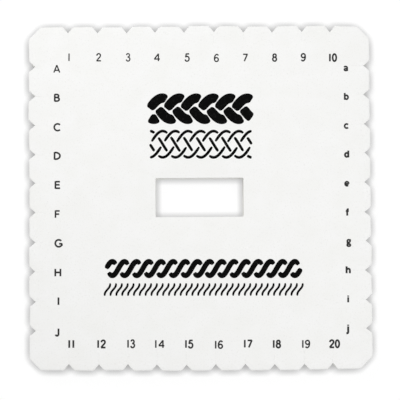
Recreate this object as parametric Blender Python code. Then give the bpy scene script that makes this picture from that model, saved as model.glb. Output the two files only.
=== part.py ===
"""A square foam braiding plate, die-cut from one sheet.

Ten thread slots run along each of the four edges. Each slot is a V notch, which
guides the thread in, and a closed slit behind it, which grips the thread. The
braid passes down through the window in the middle.

Lengths are in metres. The origin is the centre of the back face, +Z points out of
the face that carries the numbers, and +Y points to the edge with slots 1 to 10.
"""

import math
from collections import namedtuple

import bmesh
import bpy
from mathutils import Matrix, Vector

MM = 0.001

# The sheet
PLATE_SIDE = 152.4 * MM
PLATE_THICKNESS = 10.0 * MM
CORNER_CUT = 5.2 * MM
CORNER_ROUND = 1.6 * MM

# The slots, spread evenly between the first and the last of each edge
SLOTS_PER_SIDE = 10
FIRST_SLOT_INSET = 17.7 * MM
NOTCH_DEPTH = 2.8 * MM
NOTCH_MOUTH = 4.6 * MM
SHOULDER_ROUND = 1.3 * MM
SLIT_LENGTH = 6.2 * MM
SLIT_WIDTH = 0.2 * MM

# The window that the braid passes through
WINDOW_WIDTH = 38.7 * MM
WINDOW_HEIGHT = 16.9 * MM
WINDOW_CORNER_ROUND = 0.6 * MM

# The cutting die presses the foam, whose rims spring back slightly rounded
RIM_ROUND = 0.45 * MM
WINDOW_RIM_ROUND = 0.3 * MM
SLIT_RIM_ROUND = 0.05 * MM

# How finely round stretches are stepped, and how much of a side one arc may take
ARC_STEP = math.radians(13)
RIM_STEPS = 2
ARC_SHARE = 0.45
SHARP_ANGLE = math.radians(35)

FOAM_COLOUR = (0.905, 0.905, 0.89, 1.0)
FOAM_ROUGHNESS = 0.85

# One corner of an outline: its place, the radius of its arc, and how far the rim is rounded
Corner = namedtuple("Corner", "place arc rim")


def clear_scene():
    """Remove every object that the scene starts with."""
    for thing in list(bpy.data.objects):
        bpy.data.objects.remove(thing)


def foam_material():
    """Return the white closed-cell foam of the sheet."""
    material = bpy.data.materials.new("white_eva_foam")
    material.use_nodes = True
    surface = material.node_tree.nodes["Principled BSDF"]
    surface.inputs["Base Color"].default_value = FOAM_COLOUR
    surface.inputs["Roughness"].default_value = FOAM_ROUGHNESS
    surface.inputs["Metallic"].default_value = 0.0
    return material


def corner_arc(before, here, after):
    """Return the points of the arc that rounds off one corner, as (place, rim) pairs."""
    to_before = before.place - here.place
    to_after = after.place - here.place
    half_opening = to_before.angle(to_after) / 2
    shortest = min(to_before.length, to_after.length)
    reach = min(here.arc / math.tan(half_opening), ARC_SHARE * shortest)
    if reach <= 0:
        return [(here.place, here.rim)]
    radius = reach * math.tan(half_opening)
    bisector = (to_before.normalized() + to_after.normalized()).normalized()
    centre = here.place + bisector * (radius / math.sin(half_opening))
    start = here.place + to_before.normalized() * reach - centre
    end = here.place + to_after.normalized() * reach - centre
    turn = -start.angle_signed(end)
    steps = max(1, math.ceil(abs(turn) / ARC_STEP))
    spokes = (Matrix.Rotation(turn * step / steps, 2) @ start for step in range(steps + 1))
    return [(centre + spoke, here.rim) for spoke in spokes]


def rounded_outline(corners):
    """Return the outline through all the corners, each with its arc, as (place, rim) pairs."""
    points = []
    for index, here in enumerate(corners):
        after = corners[(index + 1) % len(corners)]
        points += corner_arc(corners[index - 1], here, after)
    return points


def slot_corners(along):
    """Return the corners of the slot centred at `along` on the lower edge, left to right."""
    edge = -PLATE_SIDE / 2
    notch_foot = edge + NOTCH_DEPTH
    slit_end = notch_foot + SLIT_LENGTH
    half_mouth = NOTCH_MOUTH / 2
    half_slit = SLIT_WIDTH / 2
    return [
        Corner(Vector((along - half_mouth, edge)), SHOULDER_ROUND, RIM_ROUND),
        Corner(Vector((along - half_slit, notch_foot)), 0, SLIT_RIM_ROUND),
        Corner(Vector((along - half_slit, slit_end)), 0, SLIT_RIM_ROUND),
        Corner(Vector((along + half_slit, slit_end)), 0, SLIT_RIM_ROUND),
        Corner(Vector((along + half_slit, notch_foot)), 0, SLIT_RIM_ROUND),
        Corner(Vector((along + half_mouth, edge)), SHOULDER_ROUND, RIM_ROUND),
    ]


def lower_edge_corners():
    """Return the corners of the lower edge, from one cut corner past its slots to the next."""
    half = PLATE_SIDE / 2
    first = FIRST_SLOT_INSET - half
    pitch = -2 * first / (SLOTS_PER_SIDE - 1)
    corners = [Corner(Vector((CORNER_CUT - half, -half)), CORNER_ROUND, RIM_ROUND)]
    for slot in range(SLOTS_PER_SIDE):
        corners += slot_corners(first + slot * pitch)
    corners.append(Corner(Vector((half - CORNER_CUT, -half)), CORNER_ROUND, RIM_ROUND))
    return corners


def plate_outline():
    """Return the plate's outline, anticlockwise: the lower edge, turned to each of four sides."""
    corners = []
    for quarter in range(4):
        turn = Matrix.Rotation(quarter * math.pi / 2, 2)
        for one in lower_edge_corners():
            corners.append(one._replace(place=turn @ one.place))
    return rounded_outline(corners)


def window_outline():
    """Return the window's outline, clockwise, so that the foam lies on its left as well."""
    x, y = WINDOW_WIDTH / 2, WINDOW_HEIGHT / 2
    places = ((-x, -y), (-x, y), (x, y), (x, -y))
    corners = [Corner(Vector(place), WINDOW_CORNER_ROUND, WINDOW_RIM_ROUND) for place in places]
    return rounded_outline(corners)


def steps_into_foam(outline):
    """Return for each point the step that moves the two sides beside it one metre inwards."""
    steps = []
    for index, (place, _) in enumerate(outline):
        before = (place - outline[index - 1][0]).normalized()
        after = (outline[(index + 1) % len(outline)][0] - place).normalized()
        left_before = Vector((-before.y, before.x))
        left_after = Vector((-after.y, after.x))
        steps.append((left_before + left_after) / (1 + left_before.dot(left_after)))
    return steps


def rim_profile():
    """Return the wall's profile from back to front, as (share inwards, share up, at front).

    Both shares are of the rim's rounding, which is a quarter circle at either face.
    """
    angles = [math.pi / 2 * step / RIM_STEPS for step in range(RIM_STEPS + 1)]
    quarter = [(1 - math.sin(angle), 1 - math.cos(angle)) for angle in angles]
    back = [(inwards, up, False) for inwards, up in quarter]
    front = [(inwards, up, True) for inwards, up in reversed(quarter)]
    return back + front


def cut_wall(mesh, outline):
    """Build the wall of one cut through the sheet.

    Returns its border edges on the back face and those on the front face.
    """
    steps = steps_into_foam(outline)
    rings = []
    for inwards, up, at_front in rim_profile():
        ring = []
        for (place, rim), step in zip(outline, steps):
            moved = place + step * rim * inwards
            height = PLATE_THICKNESS - rim * up if at_front else rim * up
            ring.append(mesh.verts.new((moved.x, moved.y, height)))
        rings.append(ring)
    count = len(outline)
    for low, high in zip(rings, rings[1:]):
        for index in range(count):
            mesh.faces.new((low[index - 1], low[index], high[index], high[index - 1]))
    return [
        [mesh.edges.get((ring[index - 1], ring[index])) for index in range(count)]
        for ring in (rings[0], rings[-1])
    ]


def plate_mesh():
    """Return the plate's closed mesh: the outer wall, the window's wall and the two faces."""
    mesh = bmesh.new()
    outer_back, outer_front = cut_wall(mesh, plate_outline())
    window_back, window_front = cut_wall(mesh, window_outline())
    for borders in (outer_back + window_back, outer_front + window_front):
        bmesh.ops.triangle_fill(mesh, use_beauty=True, use_dissolve=False, edges=borders)
    bmesh.ops.recalc_face_normals(mesh, faces=mesh.faces)
    data = bpy.data.meshes.new("plate")
    mesh.to_mesh(data)
    mesh.free()
    data.shade_smooth()
    data.set_sharp_from_angle(angle=SHARP_ANGLE)
    return data


def build():
    """Build the plate in an empty scene."""
    clear_scene()
    plate = bpy.data.objects.new("plate", plate_mesh())
    plate.data.materials.append(foam_material())
    bpy.context.scene.collection.objects.link(plate)


build()
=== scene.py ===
import logging
import math
from dataclasses import dataclass, field
from enum import Enum
from typing import Optional

import bmesh
import bpy
import numpy as np
from mathutils import Matrix, Vector


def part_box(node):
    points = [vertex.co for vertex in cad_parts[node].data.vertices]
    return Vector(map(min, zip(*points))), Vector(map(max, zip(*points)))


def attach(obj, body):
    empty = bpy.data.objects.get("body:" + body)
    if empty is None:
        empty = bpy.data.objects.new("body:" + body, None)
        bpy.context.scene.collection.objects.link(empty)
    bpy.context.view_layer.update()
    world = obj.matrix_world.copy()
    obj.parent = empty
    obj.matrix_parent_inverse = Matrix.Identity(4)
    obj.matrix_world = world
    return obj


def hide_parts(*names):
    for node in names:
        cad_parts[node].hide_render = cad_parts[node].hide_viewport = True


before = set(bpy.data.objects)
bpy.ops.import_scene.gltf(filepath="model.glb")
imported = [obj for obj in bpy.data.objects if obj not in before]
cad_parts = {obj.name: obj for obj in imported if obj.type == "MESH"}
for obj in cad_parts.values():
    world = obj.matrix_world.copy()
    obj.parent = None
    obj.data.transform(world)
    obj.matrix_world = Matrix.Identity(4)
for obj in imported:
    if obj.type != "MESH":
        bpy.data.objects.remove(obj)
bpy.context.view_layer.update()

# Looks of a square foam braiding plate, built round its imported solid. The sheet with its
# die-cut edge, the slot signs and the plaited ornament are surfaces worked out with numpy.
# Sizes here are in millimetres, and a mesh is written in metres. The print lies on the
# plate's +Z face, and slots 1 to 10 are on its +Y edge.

METRES = 0.001
MERGE_DISTANCE = 1e-7
SHARP_ANGLE = math.radians(38)

# The print lies turned a little on the sheet, as a screen does that isn't quite true.
PRINT_TURN = math.radians(-0.35)
# An arc's steps are about 12 degrees long, and a flowing path has six from knot to knot.
ARC_STEP = 12
FEWEST_ARC_STEPS = 4
FLOW_STEPS = 6
# How much of its width, squared, a printed strand loses at its ends, and how suddenly.
TAPER_SHARE = 0.7
TAPER_POWER = 8
# Half of the step, in millimetres, over which the outline's slope is taken.
SLOPE_STEP = 1e-3
# Places along an edge are the same where this many decimals of a millimetre agree.
PLACE_DECIMALS = 4
NEAR_ZERO = 1e-9
# What a node's input takes: a value of its own, or the socket that feeds it.
Fed = float | tuple[float, ...] | bpy.types.NodeSocket

log = logging.getLogger("braiding_plate")


class Plait(Enum):
    """How many strands a flat plait has."""

    ROPE = 2
    THREE = 3
    FOUR = 4


def linear(hex_colour: str) -> tuple[float, float, float, float]:
    """Turn an sRGB hex colour into the linear colour that a shader takes.

    Args:
        hex_colour: Six hex digits after a hash.

    Returns:
        Linear red, green, blue and an alpha of 1.
    """
    channels = (int(hex_colour[place : place + 2], 16) / 255 for place in (1, 3, 5))
    red, green, blue = (
        c / 12.92 if c <= 0.04045 else ((c + 0.055) / 1.055) ** 2.4 for c in channels
    )
    return red, green, blue, 1.0


@dataclass(frozen=True)
class Wiring:
    """The node tree of a material or a world, to which nodes are added one by one."""

    tree: bpy.types.NodeTree

    @staticmethod
    def of(owner: bpy.types.Material | bpy.types.World) -> "Wiring":
        """Return the owner's node tree, emptied of the nodes it starts with."""
        owner.use_nodes = True
        owner.node_tree.nodes.clear()
        return Wiring(owner.node_tree)

    def add(
        self, kind: str, values: Optional[dict] = None, output: int | str = 0
    ) -> Optional[bpy.types.NodeSocket]:
        """Add one node, set its values and link the sockets among them.

        Args:
            kind: Blender's name for the type of node, without ShaderNode before it.
            values: Values or sockets, by attribute name or by an input's name or number.
            output: The name or number of the output to give back.

        Returns:
            That output's socket, or None where the node has no outputs.
        """
        node = self.tree.nodes.new("ShaderNode" + kind)
        for name, value in (values or {}).items():
            if isinstance(value, bpy.types.NodeSocket):
                self.tree.links.new(value, node.inputs[name])
            elif isinstance(name, str) and hasattr(node, name):
                setattr(node, name, value)
            else:
                node.inputs[name].default_value = value
        return node.outputs[output] if len(node.outputs) else None

    def calculate(self, operation: str, first: Fed, second: Fed) -> bpy.types.NodeSocket:
        """Return what an operation makes of two values."""
        return self.add("Math", {"operation": operation, 0: first, 1: second})

    def ramp(
        self, value: Fed, ends: tuple[float, float], results: tuple[Fed, Fed] = (0.0, 1.0)
    ) -> bpy.types.NodeSocket:
        """Return a value carried from between two ends to between two results."""
        names = ("Value", "From Min", "From Max", "To Min", "To Max")
        return self.add("MapRange", dict(zip(names, (value, *ends, *results))), "Result")

    def blend(self, share: Fed, first: Fed, second: Fed) -> bpy.types.NodeSocket:
        """Return the colour that lies a share of the way from the first to the second."""
        return self.add("Mix", {"data_type": "RGBA", 0: share, 6: first, 7: second}, 2)

    def noise(
        self, place: Fed, size: float, detail: float, roughness: float = 0.5
    ) -> bpy.types.NodeSocket:
        """Return noise whose spots are about a size in millimetres across."""
        values = {"Scale": 1 / (size * METRES), "Detail": detail, "Roughness": roughness}
        return self.add("TexNoise", {"Vector": place, **values}, "Fac")

    def coat(self, colour: Fed, relief: Fed, depth: float, strength: float, gloss: dict) -> None:
        """End a material's tree with a bumped surface.

        Args:
            colour: The surface's colour.
            relief: The height of its bumps, from 0 to 1.
            depth: Their depth, in millimetres.
            strength: How strongly they show.
            gloss: The other values of the surface, by the input's name.
        """
        bumps = {"Height": relief, "Strength": strength, "Distance": depth * METRES}
        normal = self.add("Bump", bumps, "Normal")
        surface = self.add("BsdfPrincipled", {"Base Color": colour, "Normal": normal, **gloss})
        self.add("OutputMaterial", {"Surface": surface})


@dataclass(frozen=True)
class EvaFoam:
    """White closed-cell EVA foam, skived to a sheet and die-cut.

    The skin is dead matt and almost white, faintly cloudy where the sheet is a little
    denser, with fine closed pores. A cut wall shows its cells sliced open, so it is
    rougher to the eye. Each pit is greyed by painted shade, more deeply on the cut wall.
    """

    name: str
    base: str
    cloud: str
    pit: str
    pit_spacing: float
    pit_depth: float
    cloud_size: float = 10.0
    cloud_limits: tuple[float, float] = (0.35, 0.65)
    pit_limits: tuple[float, float] = (0.05, 0.3)
    grains_per_pit: float = 2.0
    roughness: float = 0.82
    ior: float = 1.49

    def material(self) -> bpy.types.Material:
        """Return the foam's material: clouds 10 mm across, with pits on them in painted shade.

        The real pores are about 0.2 mm, too fine to show, so the pits are drawn two to
        four times as far apart.
        """
        material = bpy.data.materials.new(self.name)
        wiring = Wiring.of(material)
        place = wiring.add("TexCoord", output="Object")
        clouds = wiring.ramp(wiring.noise(place, self.cloud_size, detail=2.0), self.cloud_limits)
        cells = wiring.add(
            "TexVoronoi",
            {"feature": "SMOOTH_F1", "Vector": place, "Scale": 1 / (self.pit_spacing * METRES)},
            "Distance",
        )
        pits = wiring.ramp(cells, self.pit_limits, (1.0, 0.0))
        grain = wiring.noise(place, self.pit_spacing / self.grains_per_pit, detail=3.0)
        skin = wiring.blend(clouds, linear(self.base), linear(self.cloud))
        # The pits' colour is painted shade: it greys each pore as the shade inside it would.
        colour = wiring.blend(pits, skin, linear(self.pit))
        relief = wiring.calculate("SUBTRACT", grain, pits)
        gloss = {"Roughness": self.roughness, "IOR": self.ior}
        wiring.coat(colour, relief, self.pit_depth, strength=1.0, gloss=gloss)
        return material


@dataclass(frozen=True)
class ScreenInk:
    """Black plastisol ink, screen-printed on the foam.

    It lies flat, dead matt and nearly black, because the foam soaks up its gloss, and the
    pores leave it faintly speckled with grey where it is thin.
    """

    name: str = "black_plastisol_screen_ink"
    ink: str = "#060606"
    thin_ink: str = "#1C1C1C"
    roughness: float = 0.7
    ior: float = 1.5
    specular: float = 0.03
    speckle_size: float = 0.8
    speckle_limits: tuple[float, float] = (0.56, 0.72)
    film_grain: float = 0.01

    def material(self) -> bpy.types.Material:
        """Return the ink. Its speckles are drawn 0.8 mm apart, coarser than the pores, to show."""
        material = bpy.data.materials.new(self.name)
        wiring = Wiring.of(material)
        place = wiring.add("TexCoord", output="Object")
        speckle = wiring.noise(place, self.speckle_size, detail=3.0, roughness=0.6)
        thin = wiring.ramp(speckle, self.speckle_limits)
        colour = wiring.blend(thin, linear(self.ink), linear(self.thin_ink))
        gloss = {"Roughness": self.roughness, "IOR": self.ior, "Specular IOR Level": self.specular}
        wiring.coat(colour, speckle, self.film_grain, strength=0.6, gloss=gloss)
        return material


@dataclass
class Surface:
    """Points in millimetres, the four-sided faces between them, and each face's material."""

    points: np.ndarray
    quads: np.ndarray
    finish: np.ndarray

    @staticmethod
    def grid(points: np.ndarray, finish: int = 0, keep: Optional[np.ndarray] = None) -> "Surface":
        """Return the faces of one grid of points, or of a stack of them.

        Args:
            points: Points by rows, columns and x, y, z, with any stacking before those.
            finish: The number of the faces' material.
            keep: For each step from a column to the next, whether it has faces.

        Returns:
            The surface.
        """
        index = np.arange(math.prod(points.shape[:-1])).reshape(points.shape[:-1])
        corners = (
            index[..., :-1, :-1], index[..., :-1, 1:], index[..., 1:, 1:], index[..., 1:, :-1]
        )
        quads = np.stack(corners, axis=-1)
        if keep is not None:
            quads = quads[..., keep, :]
        quads = quads.reshape(-1, 4)
        return Surface(points.reshape(-1, 3), quads, np.full(len(quads), finish))

    @staticmethod
    def joined(parts: list["Surface"]) -> "Surface":
        """Return several surfaces as one."""
        starts = np.cumsum([0] + [len(part.points) for part in parts[:-1]])
        return Surface(
            np.concatenate([part.points for part in parts]),
            np.concatenate([part.quads + start for part, start in zip(parts, starts)]),
            np.concatenate([part.finish for part in parts]),
        )

    def piece(self, name: str, materials: list[bpy.types.Material]) -> bpy.types.Object:
        """Write the surface into a mesh, merge its seams and turn its faces outwards.

        Args:
            name: The piece's name.
            materials: The materials that the faces' numbers stand for.

        Returns:
            The object, at the origin, with its place in its mesh.
        """
        mesh = bpy.data.meshes.new(name)
        mesh.from_pydata((self.points * METRES).tolist(), [], self.quads.tolist())
        for material in materials:
            mesh.materials.append(material)
        mesh.polygons.foreach_set("material_index", self.finish.astype(np.int32))
        work = bmesh.new()
        work.from_mesh(mesh)
        bmesh.ops.remove_doubles(work, verts=work.verts, dist=MERGE_DISTANCE)
        bmesh.ops.recalc_face_normals(work, faces=work.faces)
        work.to_mesh(mesh)
        work.free()
        mesh.shade_smooth()
        mesh.set_sharp_from_angle(angle=SHARP_ANGLE)
        piece = bpy.data.objects.new(name, mesh)
        bpy.context.scene.collection.objects.link(piece)
        return piece


def turned(points: np.ndarray, angle: float) -> np.ndarray:
    """Return flat points turned anticlockwise about the origin by an angle in radians."""
    cosine, sine = math.cos(angle), math.sin(angle)
    return points @ np.array([[cosine, sine], [-sine, cosine]])


def eased(share: np.ndarray) -> np.ndarray:
    """Return 3s^2 - 2s^3, which eases from 0 to 1 as the share does."""
    share = np.clip(share, 0, 1)
    return share * share * (3 - 2 * share)


def tapered(count: int) -> np.ndarray:
    """Return the pen's width along a strand, sqrt(1 - 0.7 u^8) of it, as u goes from -1 to 1."""
    return np.sqrt(1 - TAPER_SHARE * np.linspace(-1, 1, count) ** TAPER_POWER)


def blended_maximum(first: np.ndarray, second: np.ndarray, blend: float) -> np.ndarray:
    """Return the larger of two depths, rounded where they cross.

    The rounding adds h^2 times a quarter of the blend, where h falls from 1 at the
    crossing to 0 where the depths differ by the blend.
    """
    nearness = np.maximum(blend - np.abs(first - second), 0) / blend
    return np.maximum(first, second) + nearness * nearness * blend / 4


@dataclass
class Columns:
    """Sections through the plate, in order round it, each from the window to the outline.

    Each slit has two, one on either lip, which meet at the slit's inner end.
    """

    outline: np.ndarray
    inward: np.ndarray
    inner: np.ndarray
    rim: np.ndarray
    dish: np.ndarray
    lip: np.ndarray

    @staticmethod
    def joined(parts: list["Columns"]) -> "Columns":
        """Return several runs of columns as one."""
        names = ("outline", "inward", "inner", "rim", "dish", "lip")
        return Columns(*(np.concatenate([getattr(part, name) for part in parts]) for name in names))

    def turned(self, quarter: int) -> "Columns":
        """Turn the columns anticlockwise.

        Args:
            quarter: By how many quarter turns.

        Returns:
            The turned columns.
        """
        flat = (self.outline, self.inward, self.inner)
        moved = [turned(points, math.pi / 2 * quarter) for points in flat]
        return Columns(*moved, self.rim, self.dish, self.lip)


@dataclass(frozen=True)
class EdgeCut:
    """How one edge's cut strays from the plate's square: soft foam bulges under the die.

    The overcut is how far the middle of the edge stands out, and the bow is how much
    less the edge's ends do. The skew is how much more its anticlockwise end stands out,
    and how much less the other end does.
    """

    overcut: float
    bow: float = 0.0
    skew: float = 0.0


@dataclass
class FoamPlate:
    """The die-cut sheet, whose slots repeat the solid's with the unevenness of a real cut."""

    low: Vector
    high: Vector
    slots: int = 10
    first_slot_inset: float = 17.52
    notch_depth: float = 2.9
    notch_mouth: float = 4.6
    shoulder_blend: float = 0.62
    slit_length: float = 6.2
    slit_gap: float = 0.007
    slit_rim: float = 0.026
    slit_guard: float = 0.06
    corner_cut: float = 4.95
    corner_blend: float = 0.6
    rim: float = 0.7
    window_width: float = 39.15
    window_height: float = 17.3
    window_shift: tuple[float, float] = (-0.3, 0.05)
    window_corner: float = 0.5
    window_rim: float = 0.3
    wall_dish: float = 0.12
    slot_wander: float = 0.13
    notch_wander: float = 0.12
    tab_wander: float = 0.11
    tab_lean: float = 0.012
    edges: tuple[EdgeCut, ...] = (
        EdgeCut(overcut=0.64, bow=0.42, skew=0.3),
        EdgeCut(overcut=0.1),
        EdgeCut(overcut=0.67, bow=0.35),
        EdgeCut(overcut=0.04),
    )
    seed: int = 11
    tab_steps: int = 8
    shoulder_spread: float = 0.8
    corner_spread: float = 1.2
    arc_rays: int = 7
    closest: float = 0.02
    corner_ease: float = 3.0
    band_steps: int = 4
    field_steps: int = 4
    rim_steps: int = 4
    wall_steps: int = 6

    @property
    def half(self) -> float:
        """Half of the plate's side, read from the solid."""
        return (self.high.x - self.low.x) / METRES / 2

    @property
    def thickness(self) -> float:
        """The sheet's thickness, read from the solid."""
        return (self.high.z - self.low.z) / METRES

    @property
    def reach(self) -> float:
        """How far from the middle the slits' inner ends lie."""
        return self.half - self.notch_depth - self.slit_length

    def edge_depth(self, along: np.ndarray, slots: np.ndarray, depths: np.ndarray) -> np.ndarray:
        """Return how far the outline lies inside the plate's square.

        Args:
            along: Places along the lower edge.
            slots: The slots' places along it.
            depths: The depth of each slot's notch.

        Returns:
            The rounded maximum of zero, of the V notches, each of which falls evenly
            from its foot to its mouth, and of the corner cuts at 45 degrees.
        """
        to_slots = np.abs(along[:, None] - slots[None, :])
        notches = depths * (1 - 2 * to_slots / self.notch_mouth)
        cut = self.corner_cut - (self.half - np.abs(along))
        depth = blended_maximum(np.zeros_like(along), notches.max(axis=1), self.shoulder_blend)
        return blended_maximum(depth, cut, self.corner_blend)

    def tab_places(self, start: float, end: float) -> np.ndarray:
        """Work out the places along one tab: even ones, and closer ones at its shoulders.

        One lies just beside each slit, so that the face is shaded flat right up to it.
        The rays from the middle to some of them pass the window's corners, at points
        spread evenly over each corner's arc.

        Args:
            start: Where the tab starts along the edge.
            end: Where it ends.

        Returns:
            The places, in order, from the start to the end.
        """
        spread = np.linspace(-1, 1, self.tab_steps + 1)
        mouth = self.notch_mouth / 2
        corner = self.half - self.corner_cut
        bend = np.radians(np.linspace(0, 90, self.arc_rays))
        across = self.window_width / 2 - self.window_corner * (1 - np.cos(bend))
        up = self.window_height / 2 - self.window_corner * (1 - np.sin(bend))
        rays = self.reach * up / across
        places = np.concatenate(
            [
                np.linspace(start, end, self.tab_steps + 1),
                [start + self.slit_guard, end - self.slit_guard],
                start + mouth + self.shoulder_spread * spread,
                end - mouth - self.shoulder_spread * spread,
                corner + self.corner_spread * spread,
                -corner + self.corner_spread * spread,
                rays,
                -rays,
            ]
        )
        inside = places[(places > start + self.closest) & (places < end - self.closest)]
        return np.unique(np.round(np.concatenate([[start, end], inside]), PLACE_DECIMALS))

    def tab_columns(
        self, number: int, borders: np.ndarray, cut: tuple[np.ndarray, float, float, EdgeCut]
    ) -> Columns:
        """Work out the columns of one tab, between two slots or between a slot and a corner.

        The outline leaves the plate's square by its depth. The inward step is the
        outline's normal, (-slope, 1) made one long, or at a slit the mitre between that
        normal n and the lip's own m, which is (n + m) / (1 + n.m).

        Args:
            number: The tab's number along the edge.
            borders: Where each tab starts and ends.
            cut: The notches' depths, this tab's offset and lean, and the edge's own cut.

        Returns:
            The tab's columns.
        """
        depths, offset, lean, edge = cut
        slots = borders[1:-1]
        start, end = borders[number], borders[number + 1]
        along = self.tab_places(start, end)
        lip = np.zeros(len(along))
        lip[0] = 0 if number == 0 else 1
        lip[-1] = 0 if number == self.slots else -1
        share = (along - start) / (end - start)
        hold = np.ones(len(along))
        inner = along.copy()
        if number == 0:
            hold = eased(self.corner_ease * share)
            inner = np.interp(along, [start, end], [-self.reach, end])
        elif number == self.slots:
            hold = eased(self.corner_ease * (1 - share))
            inner = np.interp(along, [start, end], [start, self.reach])
        far = along / self.half
        stray = offset + lean * (share - 0.5) + edge.bow * far**2 - edge.skew * far
        depth = self.edge_depth(along, slots, depths) + hold * stray
        middle = np.clip(along, start + SLOPE_STEP, end - SLOPE_STEP)
        ahead = self.edge_depth(middle + SLOPE_STEP, slots, depths)
        behind = self.edge_depth(middle - SLOPE_STEP, slots, depths)
        slope = (ahead - behind) / (2 * SLOPE_STEP)
        normal = np.stack([-slope, np.ones(len(along))], axis=1)
        normal /= np.linalg.norm(normal, axis=1, keepdims=True)
        lip_normal = np.stack([lip, np.zeros(len(along))], axis=1)
        mitre = (normal + lip_normal) / (1 + (normal * lip_normal).sum(axis=1, keepdims=True))
        to_slot = np.abs(along[:, None] - slots[None, :]).min(axis=1)
        ease = eased(2 * to_slot / self.notch_mouth)
        return Columns(
            outline=np.stack([along + lip * self.slit_gap / 2, depth - self.half], axis=1),
            inward=np.where(lip[:, None] == 0, normal, mitre),
            inner=np.stack([inner, np.full(len(along), -self.reach)], axis=1),
            rim=self.slit_rim + (self.rim - self.slit_rim) * ease,
            dish=self.wall_dish * ease,
            lip=lip,
        )

    def edge_columns(self, rng: np.random.Generator, edge: EdgeCut) -> Columns:
        """Return the columns of the lower edge, from the middle of one corner cut to the next.

        Args:
            rng: The source of the cut's unevenness.
            edge: How this edge strays from the plate's square.

        Returns:
            The edge's columns.
        """
        even = np.linspace(-1, 1, self.slots) * (self.half - self.first_slot_inset)
        slots = even + rng.normal(0, self.slot_wander, self.slots)
        corner = self.half - self.corner_cut / 2
        borders = np.concatenate([[-corner], slots, [corner]])
        depths = self.notch_depth + rng.normal(0, self.notch_wander, self.slots)
        offsets = rng.normal(-edge.overcut, self.tab_wander, self.slots + 1)
        leans = rng.normal(0, self.tab_lean, self.slots + 1) * np.diff(borders)
        tabs = [
            self.tab_columns(number, borders, (depths, offsets[number], leans[number], edge))
            for number in range(self.slots + 1)
        ]
        return Columns.joined(tabs)

    def window_points(self, toward: np.ndarray, inset: np.ndarray) -> np.ndarray:
        """Return where rays from the window's middle meet it, widened by each inset.

        A ray d meets the window's rectangle at the nearer of its two crossings. Beyond
        the centre c of a corner's arc it meets the circle |t d - c| = r instead, at the
        larger t.

        Args:
            toward: One point on each ray.
            inset: How far each row lies inside the foam.

        Returns:
            Points by inset, ray and x, y.
        """
        half = np.array([self.window_width, self.window_height]) / 2 + inset[:, None, None]
        radius = self.window_corner + inset[:, None]
        middle = np.array(self.window_shift)
        ray = toward - middle
        ray /= np.linalg.norm(ray, axis=1, keepdims=True)
        folded = np.abs(ray)[None]
        nearest = (half / np.maximum(folded, NEAR_ZERO)).min(axis=2)
        centre = half - radius[..., None]
        along = (folded * centre).sum(axis=2)
        root = along**2 - (centre**2).sum(axis=2) + radius**2
        on_arc = along + np.sqrt(np.maximum(root, 0))
        at_corner = (folded * nearest[..., None] > centre).all(axis=2)
        return middle + ray[None] * np.where(at_corner, on_arc, nearest)[..., None]

    def wall_profile(self) -> tuple[np.ndarray, np.ndarray, np.ndarray, np.ndarray]:
        """Return a cut wall's profile from the front face to the back.

        Each rim is a quarter circle, and between the rims the wall is dished by a half
        sine. A point's height is up times the thickness plus curl times the rim.

        Returns:
            By row: the share of the rim inwards, the share of the dish, up and curl.
        """
        angle = np.linspace(0, math.pi / 2, self.rim_steps + 1)
        share = np.linspace(0, 1, self.wall_steps + 1)[1:-1]
        nothing, whole = np.zeros(len(angle)), np.ones(len(angle))
        rim_in, rim_down = 1 - np.sin(angle), 1 - np.cos(angle)
        inwards = np.concatenate([rim_in, np.zeros(len(share)), rim_in[::-1]])
        dish = np.concatenate([nothing, np.sin(math.pi * share), nothing])
        up = np.concatenate([whole, 1 - share, nothing])
        curl = np.concatenate([-rim_down, 2 * share - 1, rim_down[::-1]])
        return inwards, dish, up, curl

    @staticmethod
    def between(first: np.ndarray, last: np.ndarray, steps: int) -> np.ndarray:
        """Return even steps from one array of points to another, stepped along a new first axis."""
        share = np.linspace(0, 1, steps + 1).reshape((-1,) + (1,) * first.ndim)
        return first[None] * (1 - share) + last[None] * share

    def surface(self, columns: Columns) -> Surface:
        """Carry the plate's section round it.

        The section goes from the window's wall across the face to the slits' ends, on to
        the rim, down the outer wall and back underneath. Each lip of a slit is the even
        change from the upright line at the slit's end to the profile at the notch's foot.

        Args:
            columns: The sections round the plate.

        Returns:
            The closed surface, with the skin as finish 0 and the cut walls as finish 1.
        """
        inwards, dish, up, curl = (row[:, None] for row in self.wall_profile())
        depth = columns.rim * inwards + columns.dish * dish
        outer = columns.outline[None] + columns.inward[None] * depth[..., None]
        height = self.thickness * up + columns.rim * curl
        outer = np.concatenate([outer, height[..., None]], axis=2)
        hole = self.window_points(columns.inner, (self.window_rim * inwards)[:, 0])
        hole_height = np.broadcast_to(self.thickness * up + self.window_rim * curl, height.shape)
        hole = np.concatenate([hole, hole_height[..., None]], axis=2)
        end_height = self.thickness * up + self.slit_rim * curl
        ends = np.concatenate(
            [
                np.broadcast_to(columns.inner[None], outer.shape[:2] + (2,)),
                np.broadcast_to(end_height, outer.shape[:2])[..., None],
            ],
            axis=2,
        )
        joined_to_next = ~((columns.lip[:-1] == -1) & (columns.lip[1:] == 1))
        wall = slice(self.rim_steps, self.rim_steps + self.wall_steps + 1)
        lips = columns.lip != 0
        slit_walls = self.between(ends[:, lips], outer[:, lips], self.band_steps)
        parts = [Surface.grid(slit_walls.transpose(2, 0, 1, 3), 1)]
        for row in (0, -1):
            field_rows = self.between(hole[row], ends[row], self.field_steps)
            band_rows = self.between(ends[row], outer[row], self.band_steps)
            parts.append(Surface.grid(field_rows, 0, joined_to_next))
            parts.append(Surface.grid(band_rows, 0, joined_to_next))
        for rows in (outer, hole):
            parts.append(Surface.grid(rows[: self.rim_steps + 1], 0, joined_to_next))
            parts.append(Surface.grid(rows[wall], 1, joined_to_next))
            parts.append(Surface.grid(rows[-self.rim_steps - 1 :], 0, joined_to_next))
        return Surface.joined(parts)

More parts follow.
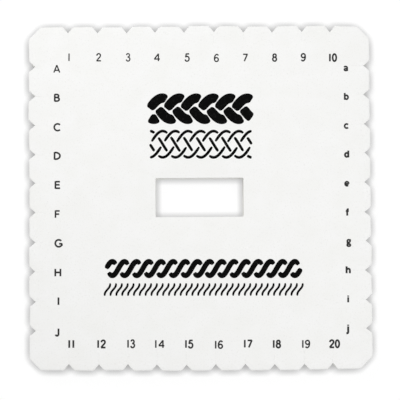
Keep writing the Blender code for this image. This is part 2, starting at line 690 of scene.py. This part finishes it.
    def build(self, skin: bpy.types.Material, cut: bpy.types.Material) -> list[bpy.types.Object]:
        """Build the sheet in its two finishes, in place of the solid.

        Args:
            skin: The finish of the two faces.
            cut: The finish of the die-cut walls.

        Returns:
            The one piece.
        """
        rng = np.random.default_rng(self.seed)
        sides = [self.edge_columns(rng, edge) for edge in self.edges]
        columns = Columns.joined([side.turned(quarter) for quarter, side in enumerate(sides)])
        piece = self.surface(columns).piece("foam_sheet", [skin, cut])
        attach(piece, "root")
        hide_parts("plate")
        return [piece]


def straight(*points: tuple[float, float]) -> np.ndarray:
    """Return a path straight from point to point."""
    return np.array(points, dtype=float)


def arc(
    centre: tuple[float, float], radii: tuple[float, float], degrees: tuple[float, float]
) -> np.ndarray:
    """Return a stretch of an ellipse, centre + (rx cos a, ry sin a), in even steps.

    Args:
        centre: The ellipse's middle.
        radii: Its half width and half height.
        degrees: Where the stretch starts and ends.

    Returns:
        The path.
    """
    steps = max(FEWEST_ARC_STEPS, round(abs(degrees[1] - degrees[0]) / ARC_STEP))
    angle = np.radians(np.linspace(degrees[0], degrees[1], steps + 1))
    across = centre[0] + radii[0] * np.cos(angle)
    up = centre[1] + radii[1] * np.sin(angle)
    return np.stack([across, up], axis=1)


def flowing(*points: tuple[float, float]) -> np.ndarray:
    """Draw a smooth path through points.

    Each stretch is the cubic whose slope at a point is half the step between the points
    on either side of it.

    Args:
        points: The points, from one end of the path to the other.

    Returns:
        The path.
    """
    knots = np.array(points, dtype=float)
    knots = np.concatenate([[2 * knots[0] - knots[1]], knots, [2 * knots[-1] - knots[-2]]])
    share = np.linspace(0, 1, FLOW_STEPS + 1)[:-1][None, :, None]
    a, b, c, d = (knots[i : len(knots) - 3 + i, None, :] for i in range(4))
    cubic = b + 0.5 * share * (
        c - a + share * (2 * a - 5 * b + 4 * c - d + share * (3 * (b - c) + d - a))
    )
    return np.concatenate([cubic.reshape(-1, 2), knots[-2:-1]])


def bowl_path(
    top: float, bottom: float, left: float, right: float, roundness: float = 1.3
) -> np.ndarray:
    """Return a half round bowl, which leaves a stem at the top and comes back at the bottom.

    Args:
        top: The height at which it leaves.
        bottom: The height at which it comes back.
        left: The stem's place.
        right: The bowl's far side.
        roundness: How far the bowl's curve goes across, by half of its height.

    Returns:
        The path.
    """
    middle = (top + bottom) / 2
    reach = (top - bottom) / 2
    centre = max(right - roundness * reach, left)
    half = arc((centre, middle), (right - centre, reach), (90, -90))
    return np.concatenate([straight((left, top)), half, straight((left, bottom))])


def capital_strokes() -> dict[str, list[np.ndarray]]:
    """Return the pen's paths for the capitals, in units of their height, on the line y = 0."""
    stem = straight((0.1, 0), (0.1, 1))
    return {
        "A": [
            straight((0, 0), (0.39, 1)),
            straight((0.39, 1), (0.78, 0)),
            straight((0.13, 0.3), (0.65, 0.3)),
        ],
        "B": [stem, bowl_path(0.95, 0.54, 0.1, 0.62), bowl_path(0.54, 0.05, 0.1, 0.69)],
        "C": [arc((0.5, 0.5), (0.45, 0.46), (44, 316))],
        "D": [stem, bowl_path(0.95, 0.05, 0.1, 0.83)],
        "E": [
            stem,
            straight((0.1, 0.94), (0.71, 0.94)),
            straight((0.1, 0.52), (0.66, 0.52)),
            straight((0.1, 0.06), (0.73, 0.06)),
        ],
        "F": [stem, straight((0.1, 0.93), (0.66, 0.93)), straight((0.1, 0.5), (0.6, 0.5))],
        "G": [
            arc((0.5, 0.5), (0.46, 0.47), (42, 318)),
            straight((0.56, 0.44), (0.96, 0.44)),
            straight((0.92, 0.47), (0.92, 0.14)),
        ],
        "H": [stem, straight((0.79, 0), (0.79, 1)), straight((0.1, 0.52), (0.79, 0.52))],
        "I": [stem],
        "J": [np.concatenate([straight((0.46, 1)), arc((0.26, 0.26), (0.2, 0.22), (0, -165))])],
    }


def small_strokes() -> dict[str, list[np.ndarray]]:
    """Return the pen's paths for the small letters, in units of an x's height."""
    bowl = arc((0.46, 0.5), (0.32, 0.38), (0, 360))
    tall_stem = straight((0.14, 0), (0.14, 1.34))
    return {
        "a": [
            flowing((0.1, 0.72), (0.2, 0.87), (0.4, 0.9), (0.6, 0.82), (0.67, 0.62)),
            straight((0.68, 0.66), (0.68, 0)),
            arc((0.39, 0.29), (0.27, 0.19), (0, 360)),
        ],
        "b": [tall_stem, bowl],
        "c": [arc((0.5, 0.5), (0.38, 0.4), (42, 318))],
        "d": [straight((0.78, 0), (0.78, 1.34)), bowl],
        "e": [arc((0.47, 0.5), (0.35, 0.39), (0, 312)), straight((0.14, 0.48), (0.84, 0.48))],
        "f": [
            straight((0.28, 0), (0.28, 1.0)),
            flowing((0.28, 0.95), (0.34, 1.2), (0.58, 1.27)),
            straight((0, 0.87), (0.58, 0.87)),
        ],
        "g": [
            arc((0.38, 0.62), (0.27, 0.25), (0, 360)),
            straight((0.58, 0.78), (0.8, 0.88)),
            flowing((0.24, 0.42), (0.13, 0.26), (0.26, 0.13), (0.52, 0.08), (0.7, -0.06)),
            arc((0.4, -0.18), (0.32, 0.2), (20, 380)),
        ],
        "h": [
            tall_stem,
            flowing((0.14, 0.62), (0.28, 0.82), (0.5, 0.89), (0.7, 0.8), (0.78, 0.56), (0.78, 0)),
        ],
        "i": [straight((0.15, 0), (0.15, 0.98)), straight((0.15, 1.1), (0.15, 1.32))],
        "j": [
            flowing((0.34, 0.98), (0.34, 0.4), (0.34, -0.08), (0.24, -0.31), (-0.02, -0.34)),
            straight((0.34, 1.1), (0.34, 1.32)),
        ],
    }


def digit_strokes() -> dict[str, list[np.ndarray]]:
    """Return the pen's paths for the digits, in units of their height, on the line y = 0."""
    six = [
        arc((0.31, 0.29), (0.25, 0.26), (90, 450)),
        flowing(
            (0.56, 0.83), (0.47, 0.95), (0.32, 0.98), (0.17, 0.87), (0.08, 0.67), (0.05, 0.45),
            (0.06, 0.29),
        ),
    ]
    return {
        "0": [arc((0.3, 0.5), (0.24, 0.48), (90, 450))],
        "1": [straight((0.3, 0), (0.3, 1))],
        "2": [
            flowing(
                (0.05, 0.72), (0.12, 0.9), (0.3, 0.99), (0.48, 0.91), (0.54, 0.74),
                (0.46, 0.55), (0.26, 0.32), (0.09, 0.11), (0.05, 0.03),
            ),
            straight((0.01, 0.03), (0.61, 0.03)),
        ],
        "3": [
            flowing(
                (0.08, 0.8), (0.14, 0.94), (0.28, 1.0), (0.43, 0.92), (0.47, 0.76), (0.4, 0.6),
                (0.22, 0.54),
            ),
            flowing(
                (0.22, 0.54), (0.41, 0.49), (0.52, 0.34), (0.5, 0.15), (0.38, 0.02), (0.23, 0),
                (0.1, 0.08), (0.05, 0.22),
            ),
        ],
        "4": [
            straight((0.53, 0.98), (0, 0.29)),
            straight((-0.04, 0.28), (0.72, 0.28)),
            straight((0.53, 0), (0.53, 1)),
        ],
        "5": [
            straight((0.14, 0.97), (0.56, 0.97)),
            straight((0.17, 1.0), (0.1, 0.5)),
            flowing(
                (0.09, 0.53), (0.19, 0.62), (0.32, 0.63), (0.48, 0.54), (0.55, 0.34), (0.5, 0.12),
                (0.34, 0), (0.18, 0.01), (0.07, 0.1), (0.04, 0.24),
            ),
        ],
        "6": six,
        "7": [straight((0, 0.93), (0.6, 0.93)), straight((0.57, 0.95), (0.16, 0))],
        "8": [
            arc((0.3, 0.75), (0.2, 0.215), (90, 450)),
            arc((0.3, 0.28), (0.245, 0.265), (90, 450)),
        ],
        "9": [np.array([0.6, 1.0]) - path for path in six],
    }


@dataclass
class InkFilm:
    """Ink laid down along paths on the plate's face, as a film with a real thickness."""

    face: float
    film: float = 0.03
    bite: float = 0.01
    overlap: float = 0.002

    def stroke(self, path: np.ndarray, pen: np.ndarray, layer: int = 0) -> Surface:
        """Carry an upright rectangle along a path.

        A side of the film is the path plus or minus the pen along its normal, mitred at
        each bend. A later layer is a little thicker on both sides, so that no two strokes
        share a plane.

        Args:
            path: Points on the face.
            pen: Half of the stroke's width, at each point or everywhere.
            layer: How many strokes of the same sign lie under this one.

        Returns:
            The stroke's closed surface.
        """
        closed = np.allclose(path[0], path[-1])
        step = np.diff(path, axis=0)
        step /= np.linalg.norm(step, axis=1, keepdims=True)
        normal = np.stack([-step[:, 1], step[:, 0]], axis=1)
        before = np.concatenate([normal[-1:] if closed else normal[:1], normal])
        after = np.concatenate([normal, normal[:1] if closed else normal[-1:]])
        mitre = (before + after) / (1 + (before * after).sum(axis=1, keepdims=True))
        offset = mitre * np.broadcast_to(np.atleast_1d(pen), len(path))[:, None]
        low = self.face - self.bite - layer * self.overlap
        high = self.face + self.film + layer * self.overlap
        around = [(offset, low), (offset, high), (-offset, high), (-offset, low), (offset, low)]
        heights = np.array([height for _, height in around])
        sides = np.stack([path + side for side, _ in around])
        heights = np.broadcast_to(heights[:, None, None], sides.shape[:2] + (1,))
        tube = np.concatenate([sides, heights], axis=2)
        parts = [Surface.grid(tube)]
        if not closed:
            parts += [Surface.grid(tube[[[0, 1], [3, 2]], end]) for end in (0, -1)]
        return Surface.joined(parts)


class Print:
    """A part of the print: one piece on the plate's face, which rides with it."""

    name: str

    def drawn(self, film: InkFilm) -> list[Surface]:
        """Return the part's strokes of ink."""
        raise NotImplementedError

    def build(self, ink: bpy.types.Material, film: InkFilm) -> list[bpy.types.Object]:
        """Print the part as one piece.

        Args:
            ink: The ink's material.
            film: The ink film on the plate's face.

        Returns:
            The one piece.
        """
        piece = Surface.joined(self.drawn(film)).piece(self.name, [ink])
        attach(piece, "root")
        return [piece]


@dataclass
class SlotSigns(Print):
    """The numbers and letters beside the slots: one row or column of printed signs."""

    name: str
    signs: list[str]
    first: tuple[float, float]
    step: tuple[float, float]
    height: float
    pen: float
    alphabet: dict[str, list[np.ndarray]]
    nudges: dict[str, tuple[float, float]] = field(default_factory=dict)
    weights: dict[str, float] = field(default_factory=dict)
    bearing: float = 0.1
    stem_bearing: float = 0.27

    def sign_paths(self, sign: str) -> list[np.ndarray]:
        """Lay out one sign round its own middle, in millimetres.

        Its characters stand side by side with a bearing on both sides of each, wider
        beside a 1. The whole is centred on its own width and on half its height, and it
        is turned with the print.

        Args:
            sign: The sign's characters.

        Returns:
            The pen's paths.
        """
        paths = []
        start = 0.0
        for character in sign:
            bearing = self.stem_bearing if character == "1" else self.bearing
            glyph = self.alphabet[character]
            across = np.concatenate(glyph)[:, 0]
            shift = np.array([start + bearing - across.min(), 0])
            paths += [path + shift for path in glyph]
            start += np.ptp(across) + 2 * bearing
        across = np.concatenate(paths)[:, 0]
        middle = np.array([(across.min() + across.max()) / 2, 0.5])
        return [turned((path - middle) * self.height, PRINT_TURN) for path in paths]

    def drawn(self, film: InkFilm) -> list[Surface]:
        """Return the signs' strokes."""
        strokes = []
        for number, sign in enumerate(self.signs):
            place = np.array(self.first) + number * np.array(self.step)
            place = place + np.array(self.nudges.get(sign, (0, 0)))
            pen = np.array(self.pen * self.weights.get(sign, 1.0))
            for layer, path in enumerate(self.sign_paths(sign)):
                strokes.append(film.stroke(path + place, pen, layer))
        return strokes


@dataclass
class PlaitBand(Print):
    """A printed band of flat plaiting: strands that swing across it over and under each other."""

    name: str
    plait: Plait
    centre: tuple[float, float]
    length: float
    height: float
    strand: float
    gap: float
    swing: float
    step: float = 0.25
    shortest_run: float = 0.6

    def strands(self) -> tuple[np.ndarray, np.ndarray]:
        """Return the strands' paths and how high each lies in the plait.

        Strand k is A sin a across the band, where a grows along it from k / n of a turn.
        Its height is cos a with two strands, sin 2a with three and -cos a cos 4a with
        four, so that it goes over one strand and under the next.

        Returns:
            Points by strand, place and x, y, and heights by strand and place.
        """
        count = self.plait.value
        steps = round(self.length / self.step)
        x = np.linspace(-self.length / 2, self.length / 2, steps + 1)
        phase = 2 * math.pi * (x[None, :] / self.swing + np.arange(count)[:, None] / count)
        across = (self.height / 2 - self.strand / 2) * np.sin(phase)
        level = {
            Plait.ROPE: np.cos(phase),
            Plait.THREE: np.sin(2 * phase),
            Plait.FOUR: -np.cos(phase) * np.cos(4 * phase),
        }[self.plait]
        return np.stack([np.broadcast_to(x, across.shape), across], axis=2), level

    def runs(self) -> list[tuple[np.ndarray, np.ndarray]]:
        """Cut each strand where a higher one passes, and round the ends.

        A point is hidden where it is nearer to a higher strand than half that strand's
        width and the gap. A run is left out where it is shorter than a share of that width.

        Returns:
            Each run's path and pen.
        """
        paths, level = self.strands()
        clear = self.strand / 2 + self.gap
        found = []
        for number, path in enumerate(paths):
            others = np.delete(np.arange(len(paths)), number)
            apart = np.linalg.norm(path[:, None, None] - paths[None, others], axis=3)
            higher = level[None, others] > level[number][:, None, None]
            hidden = ((apart < clear) & higher).any(axis=(1, 2))
            starts = np.flatnonzero(np.diff(hidden.astype(int)) != 0) + 1
            for run in np.split(np.arange(len(path)), starts):
                if hidden[run[0]] or np.ptp(path[run, 0]) < self.shortest_run * self.strand:
                    continue
                found.append((path[run], self.strand / 2 * tapered(len(run))))
        return found

    def drawn(self, film: InkFilm) -> list[Surface]:
        """Return the strands' strokes."""
        return [
            film.stroke(turned(path, PRINT_TURN) + np.array(self.centre), pen)
            for path, pen in self.runs()
        ]


@dataclass
class CordRow(Print):
    """A printed row of thin, slanted, slightly bent strokes, like the strands of a laid cord."""

    name: str
    centre: tuple[float, float]
    length: float
    height: float
    strokes: int
    pen: float
    slant: float
    bend: float = 0.35
    points: int = 13

    def drawn(self, film: InkFilm) -> list[Surface]:
        """Return the row's strokes. Each leans by the slant and bends by a sine of it."""
        share = np.linspace(-1, 1, self.points)
        lean = self.slant / 2 * (share + self.bend * np.sin(math.pi * share))
        pen = self.pen * tapered(self.points)
        strokes = []
        for foot in np.linspace(-1, 1, self.strokes) * (self.length - self.slant) / 2:
            path = np.stack([foot + lean, self.height / 2 * share], axis=1)
            strokes.append(film.stroke(turned(path, PRINT_TURN) + np.array(self.centre), pen))
        return strokes


@dataclass(frozen=True)
class Lamp:
    """One square soft lamp, which faces the middle of the plate."""

    name: str
    place: tuple[float, float, float]
    size: float
    power: float
    colour: str = "#FFFFFF"


@dataclass(frozen=True)
class Shadow:
    """How the floor's glow fades beside what stands on it, in a painted contact shadow.

    The glow goes from deep to full as s^fall does, where s is the share of the sky that
    nothing within the reach hides.
    """

    reach: float
    fall: float
    deep: float
    full: float


@dataclass
class Studio:
    """The white floor, the soft light and the camera straight above the plate."""

    ambient: float = 0.588
    floor_colour: str = "#F2F2F2"
    glow_share: float = 0.9
    window_shadow: Shadow = Shadow(reach=3.0, fall=2.0, deep=0.496, full=1.034)
    outer_shadow: Shadow = Shadow(reach=4.0, fall=3.0, deep=0.4, full=1.03)
    shadow_border: tuple[float, float] = (40.0, 60.0)
    shadow_samples: int = 16
    floor_size: float = 3000.0
    floor_points: int = 5
    floor_drop: float = 0.02
    lamps: tuple[Lamp, ...] = (
        Lamp("key_lamp", place=(-200, 300, 420), size=220, power=0.954),
        Lamp("fill_lamp", place=(200, -100, 420), size=160, power=0.467),
    )
    lens: float = 120.0
    sensor: float = 36.0
    clip: tuple[float, float] = (10.0, 10000.0)
    distance: float = 594.0
    aim: tuple[float, float, float] = (-0.145, -1.095, 10.0)
    roll: float = 0.368
    pitch: float = -2.155
    yaw: float = 0.855

    @staticmethod
    def seen_directly(wiring: Wiring) -> bpy.types.NodeSocket:
        """Tell apart the rays from the camera, off gloss or through glass.

        Args:
            wiring: The node tree that asks.

        Returns:
            A socket that is 1 for such rays and 0 for all others.
        """
        rays = wiring.add("LightPath").node.outputs
        camera_or_gloss = wiring.calculate("MAXIMUM", rays["Is Camera Ray"], rays["Is Glossy Ray"])
        return wiring.calculate("MAXIMUM", camera_or_gloss, rays["Is Transmission Ray"])

    def light_world(self) -> None:
        """Light the scene evenly from all round, and show plain white behind it."""
        world = bpy.data.worlds.new("white_surround")
        wiring = Wiring.of(world)
        white = linear("#FFFFFF")
        light = wiring.add("Background", {"Color": white, "Strength": self.ambient})
        shown = wiring.add("Background", {"Color": white, "Strength": 1.0})
        mixed = wiring.add("MixShader", {0: self.seen_directly(wiring), 1: light, 2: shown})
        wiring.add("OutputWorld", {"Surface": mixed})
        bpy.context.scene.world = world

    def hang_lamps(self) -> None:
        """Hang the soft lamps, each turned to the middle of the plate."""
        for lamp in self.lamps:
            data = bpy.data.lights.new(lamp.name, "AREA")
            data.shape = "SQUARE"
            data.size = lamp.size * METRES
            data.energy = lamp.power
            data.color = linear(lamp.colour)[:3]
            holder = bpy.data.objects.new(lamp.name, data)
            holder.location = Vector(lamp.place) * METRES
            holder.rotation_euler = (-holder.location).to_track_quat("-Z", "Y").to_euler()
            holder.visible_camera = False
            bpy.context.scene.collection.objects.link(holder)

    def lay_floor(self) -> bpy.types.Object:
        """Lay the matt white floor, seen as white but for the plate's shadow.

        What the camera sees is part the lit paper and part a glow, which fades beside
        whatever stands on the floor in a painted contact shadow. The middle of the floor is
        under the window, whose painted shadow is narrower than the one outside.

        Returns:
            The floor.
        """
        material = bpy.data.materials.new("matt_white_paper_sweep")
        wiring = Wiring.of(material)
        paper = wiring.add("BsdfDiffuse", {"Color": linear(self.floor_colour)})
        place = wiring.add("TexCoord", output="Object")
        from_middle = wiring.add("VectorMath", {"operation": "LENGTH", 0: place}, "Value")
        border = (self.shadow_border[0] * METRES, self.shadow_border[1] * METRES)
        inner, outer = self.window_shadow, self.outer_shadow
        reach, fall, deep, full = (
            wiring.ramp(from_middle, border, ends)
            for ends in (
                (inner.reach * METRES, outer.reach * METRES),
                (inner.fall, outer.fall),
                (inner.deep, outer.deep),
                (inner.full, outer.full),
            )
        )
        sky = {"samples": self.shadow_samples, "Distance": reach}
        # The glow's fade with the open sky is a painted contact shadow.
        falling = wiring.calculate("POWER", wiring.add("AmbientOcclusion", sky, "AO"), fall)
        fading = wiring.ramp(falling, (0.0, 1.0), (deep, full))
        glow = wiring.add("Emission", {"Color": linear("#FFFFFF"), "Strength": fading})
        share = wiring.calculate("MULTIPLY", self.seen_directly(wiring), self.glow_share)
        both = wiring.add("MixShader", {0: share, 1: paper, 2: glow})
        wiring.add("OutputMaterial", {"Surface": both})
        side = np.linspace(-1, 1, self.floor_points) * self.floor_size / 2
        x, y = np.meshgrid(side, side)
        points = np.stack([x, y, np.full_like(x, -self.floor_drop)], axis=2)
        floor = Surface.grid(points).piece("floor", [material])
        return floor

    def set_camera(self) -> None:
        """Set the camera where the photograph's perspective puts it, almost straight above."""
        data = bpy.data.cameras.new("camera")
        data.lens = self.lens
        data.sensor_width = self.sensor
        data.clip_start, data.clip_end = (limit * METRES for limit in self.clip)
        turn = (
            Matrix.Rotation(math.radians(self.pitch), 3, "X")
            @ Matrix.Rotation(math.radians(self.yaw), 3, "Y")
            @ Matrix.Rotation(math.radians(self.roll), 3, "Z")
        ).transposed()
        place = (Vector(self.aim) + turn @ Vector((0, 0, self.distance))) * METRES
        camera = bpy.data.objects.new("camera", data)
        camera.matrix_world = Matrix.Translation(place) @ turn.to_4x4()
        bpy.context.scene.collection.objects.link(camera)
        bpy.context.scene.camera = camera

    def build(self) -> list[bpy.types.Object]:
        """Build the floor, the light and the camera, and return the floor."""
        self.light_world()
        self.hang_lamps()
        self.set_camera()
        bpy.context.scene.view_settings.view_transform = "Standard"
        return [self.lay_floor()]


def slot_signs() -> tuple[SlotSigns, ...]:
    """Return the signs beside the slots, as unevenly placed and weighted as their print."""
    return (
        SlotSigns(
            "top_numbers", [str(n) for n in range(1, 11)],
            first=(-58.1, 63.04), step=(13.109, -0.072), height=3.35, pen=0.307,
            alphabet=digit_strokes(),
            nudges={
                "1": (-0.14, 0), "4": (-0.2, 0), "5": (0.2, 0), "6": (0.16, -0.25),
                "9": (-0.23, 0.15),
            },
            weights={
                "1": 0.92, "2": 0.96, "3": 0.88, "4": 0.95, "6": 0.93, "8": 1.1, "9": 1.1,
                "10": 1.27,
            },
        ),
        SlotSigns(
            "bottom_numbers", [str(n) for n in range(11, 21)],
            first=(-57.18, -64.61), step=(12.973, -0.096), height=3.35, pen=0.346,
            alphabet=digit_strokes(),
            nudges={
                "11": (-0.4, 0), "12": (0.15, 0), "13": (0.2, 0.1), "16": (0.2, -0.3),
                "17": (0.3, 0.15), "20": (-0.4, 0.1),
            },
            weights={
                "11": 1.2, "12": 1.15, "14": 0.95, "15": 1.1, "17": 1.1, "18": 1.15, "19": 0.94,
                "20": 1.16,
            },
        ),
        SlotSigns(
            "capital_letters", list("ABCDEFGHIJ"),
            first=(-63.7, 57.88), step=(0.036, -12.977), height=3.3, pen=0.377,
            alphabet=capital_strokes(),
            nudges={
                "C": (0, -0.2), "E": (0.15, 0), "G": (0.45, 0), "I": (0.2, 0.3), "J": (-0.5, -0.5),
            },
            weights={"A": 0.78, "D": 1.04, "F": 0.94, "G": 1.05, "H": 1.04, "I": 1.08, "J": 1.08},
        ),
        SlotSigns(
            "small_letters", list("abcdefghij"),
            first=(65.52, 57.45), step=(0.0, -12.918), height=2.3, pen=0.398,
            alphabet=small_strokes(),
            nudges={
                "b": (0.15, 0), "f": (0, -0.15), "g": (0.62, 0), "h": (0.15, 0), "j": (-0.55, 0),
            },
            weights={"a": 0.92, "d": 1.1, "f": 1.05, "g": 0.95, "h": 1.1, "i": 1.04, "j": 1.15},
        ),
    )


def ornament() -> tuple[Print, ...]:
    """Return the plaited bands above and below the window, from the top down."""
    return (
        PlaitBand(
            "bold_plait", Plait.THREE, (0.4, 39.7),
            length=45.6, height=13.8, strand=4.4, gap=0.38, swing=22.8,
        ),
        PlaitBand(
            "fine_plait", Plait.FOUR, (0.4, 23.8),
            length=45.4, height=13.0, strand=1.25, gap=0.45, swing=22.7,
        ),
        PlaitBand(
            "rope_band", Plait.ROPE, (1.3, -31.6),
            length=86.6, height=8.6, strand=2.4, gap=0.5, swing=10.825,
        ),
        CordRow(
            "cord_row", (1.3, -40.9), length=88.0, height=5.6, strokes=34, pen=0.47, slant=2.4
        ),
    )


def main() -> None:
    """Build every piece in order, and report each."""
    logging.basicConfig(level=logging.INFO, format="%(name)s: %(message)s")
    low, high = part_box("plate")
    skin = EvaFoam(
        "skived_eva_foam", base="#F5F5F4", cloud="#F3F3F1", pit="#EDEDEB",
        pit_spacing=0.8, pit_depth=0.015,
    ).material()
    cut = EvaFoam(
        "die_cut_eva_foam", base="#F2F2EF", cloud="#EEEEEA", pit="#DADAD5",
        pit_spacing=0.45, pit_depth=0.06,
    ).material()
    ink = ScreenInk().material()
    film = InkFilm(face=high.z / METRES)
    # The signs' ink is laid on thinner than the ornament's, so the foam greys it.
    sign_ink = ScreenInk("thin_black_screen_ink", ink="#363636", thin_ink="#4E4E4E").material()
    pieces = FoamPlate(low, high).build(skin, cut)
    for row in slot_signs():
        pieces += row.build(sign_ink, film)
    for band in ornament():
        pieces += band.build(ink, film)
    pieces += Studio().build()
    for piece in pieces:
        log.info("%s: %d faces", piece.name, len(piece.data.polygons))


if __name__ == "__main__":
    main()
